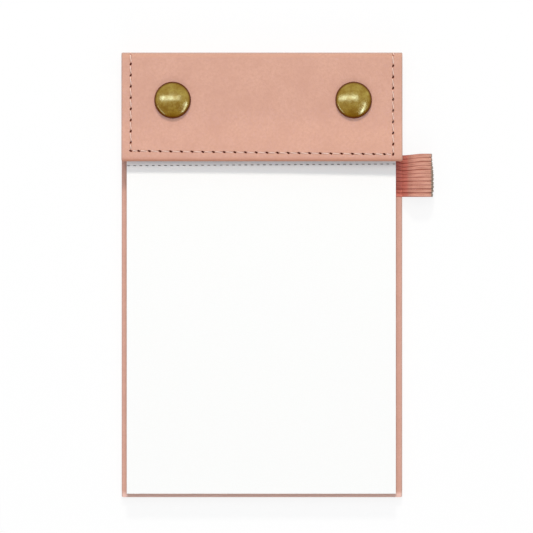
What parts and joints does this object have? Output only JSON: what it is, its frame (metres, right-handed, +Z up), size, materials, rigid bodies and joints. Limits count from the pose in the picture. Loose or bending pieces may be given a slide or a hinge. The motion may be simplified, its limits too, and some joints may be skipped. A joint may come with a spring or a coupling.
{
  "type": "leather-covered notepad",
  "caption": "Tear-off notepad on a lined, stitched leather cover, held at its head by a folded flap with brass snaps, with an elastic pen loop at the side.",
  "frame": {"origin": "middle of the back cover's rear face, which the notepad lies on", "axes": "+X to the right, +Y towards the spine at the head of the pad, +Z up towards the reader"},
  "size_m": [0.1052, 0.1504, 0.0102],
  "materials": {
    "leather": "smooth salmon-pink leather with a fine grain",
    "lining": "thin matching lining, matt",
    "paper": "plain white uncoated sheets",
    "card": "grey-brown board",
    "binding": "dried padding glue",
    "elastic": "ribbed woven elastic",
    "brass": "antiqued brass with darker mottling",
    "spring_wire": "drawn wire",
    "thread": "pale pink twisted thread"
  },
  "bodies": {
    "root": {"back_leather": "leather", "back_lining": "lining", "paper_block": "paper", "pad_backing": "card", "pad_binding": "binding", "pen_loop": "elastic", "snap_stud_left": "brass", "snap_stud_right": "brass", "snap_post_left": "brass", "snap_post_right": "brass", "back_stitching": "thread"},
    "spine": {"spine_leather": "leather", "spine_lining": "lining", "spine_stitching": "thread"},
    "flap": {"flap_leather": "leather", "flap_lining": "lining", "snap_cap_left": "brass", "snap_cap_right": "brass", "snap_socket_left": "brass", "snap_socket_right": "brass", "snap_spring_left": "spring_wire", "snap_spring_right": "spring_wire", "flap_stitching": "thread"}
  },
  "joints": [
    {"name": "spine_hinge", "type": "hinge", "parent": "root", "child": "spine", "pos_m": [0, 0.07315, 0.0021], "axis": [-1, 0, 0], "range_deg": [0, 90]},
    {"name": "flap_hinge", "type": "hinge", "parent": "spine", "child": "flap", "pos_m": [0, 0.07315, 0.0058], "axis": [-1, 0, 0], "range_deg": [0, 90]}
  ]
}
